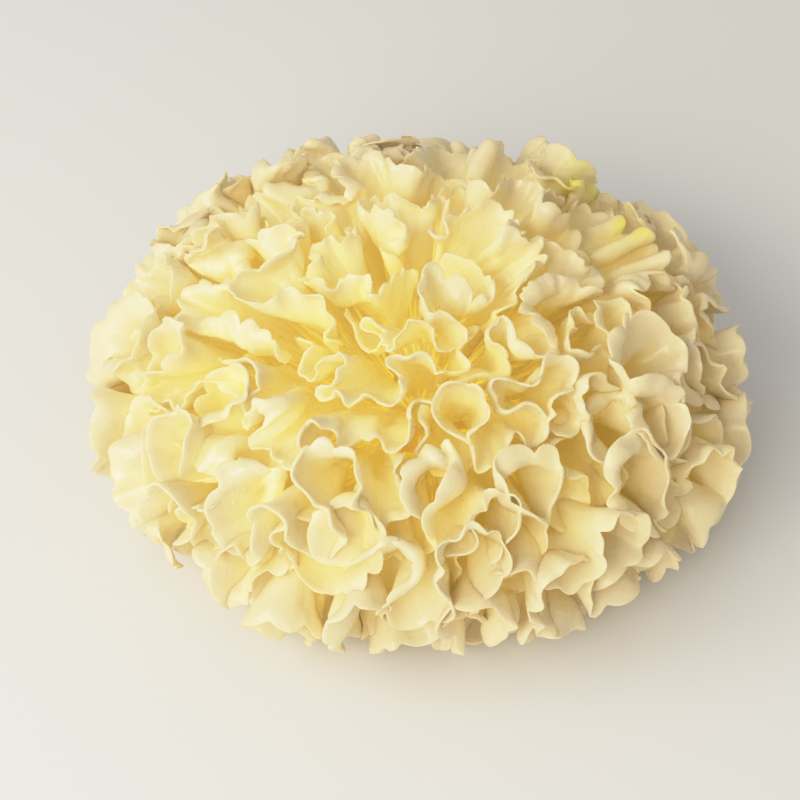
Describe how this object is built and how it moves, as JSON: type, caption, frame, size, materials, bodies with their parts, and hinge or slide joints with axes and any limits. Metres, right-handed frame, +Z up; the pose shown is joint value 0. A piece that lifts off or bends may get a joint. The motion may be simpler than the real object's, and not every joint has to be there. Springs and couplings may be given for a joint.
{
  "type": "snow fungus",
  "caption": "Fresh snow fungus: a low ruffled dome of thin, wavy, gelatinous fronds that grow in overlapping rings from a small base cut off flat.",
  "frame": {"origin": "centre of the flat cut under the base", "axes": "+Z up out of the cut, through the middle of the crown; -Y towards the camera"},
  "size_m": [0.1768, 0.1745, 0.0738],
  "materials": {
    "frond_flesh": "moist, translucent gelatinous flesh, ivory at the margins and golden in the folds",
    "base_flesh": "dense straw-coloured flesh, matt and fibrous on the cut"
  },
  "bodies": {
    "root": {"base": "base_flesh", "skirt_frond_01": "frond_flesh", "skirt_frond_02": "frond_flesh", "skirt_frond_03": "frond_flesh", "skirt_frond_04": "frond_flesh", "skirt_frond_05": "frond_flesh", "skirt_frond_06": "frond_flesh", "skirt_frond_07": "frond_flesh", "skirt_frond_08": "frond_flesh", "skirt_frond_09": "frond_flesh", "low_frond_01": "frond_flesh", "low_frond_02": "frond_flesh", "low_frond_03": "frond_flesh", "low_frond_04": "frond_flesh", "low_frond_05": "frond_flesh", "low_frond_06": "frond_flesh", "low_frond_07": "frond_flesh", "low_frond_08": "frond_flesh", "low_frond_09": "frond_flesh", "outer_frond_01": "frond_flesh", "outer_frond_02": "frond_flesh", "outer_frond_03": "frond_flesh", "outer_frond_04": "frond_flesh", "outer_frond_05": "frond_flesh", "outer_frond_06": "frond_flesh", "outer_frond_07": "frond_flesh", "outer_frond_08": "frond_flesh", "outer_frond_09": "frond_flesh", "shoulder_frond_01": "frond_flesh", "shoulder_frond_02": "frond_flesh", "shoulder_frond_03": "frond_flesh", "shoulder_frond_04": "frond_flesh", "shoulder_frond_05": "frond_flesh", "shoulder_frond_06": "frond_flesh", "shoulder_frond_07": "frond_flesh", "shoulder_frond_08": "frond_flesh", "shoulder_frond_09": "frond_flesh", "middle_frond_01": "frond_flesh", "middle_frond_02": "frond_flesh", "middle_frond_03": "frond_flesh", "middle_frond_04": "frond_flesh", "middle_frond_05": "frond_flesh", "middle_frond_06": "frond_flesh", "middle_frond_07": "frond_flesh", "middle_frond_08": "frond_flesh", "upper_frond_01": "frond_flesh", "upper_frond_02": "frond_flesh", "upper_frond_03": "frond_flesh", "upper_frond_04": "frond_flesh", "upper_frond_05": "frond_flesh", "upper_frond_06": "frond_flesh", "crown_frond_01": "frond_flesh", "crown_frond_02": "frond_flesh", "crown_frond_03": "frond_flesh", "crown_frond_04": "frond_flesh", "crown_frond_05": "frond_flesh", "heart_frond_01": "frond_flesh", "heart_frond_02": "frond_flesh", "heart_frond_03": "frond_flesh", "heart_frond_04": "frond_flesh"}
  },
  "joints": []
}
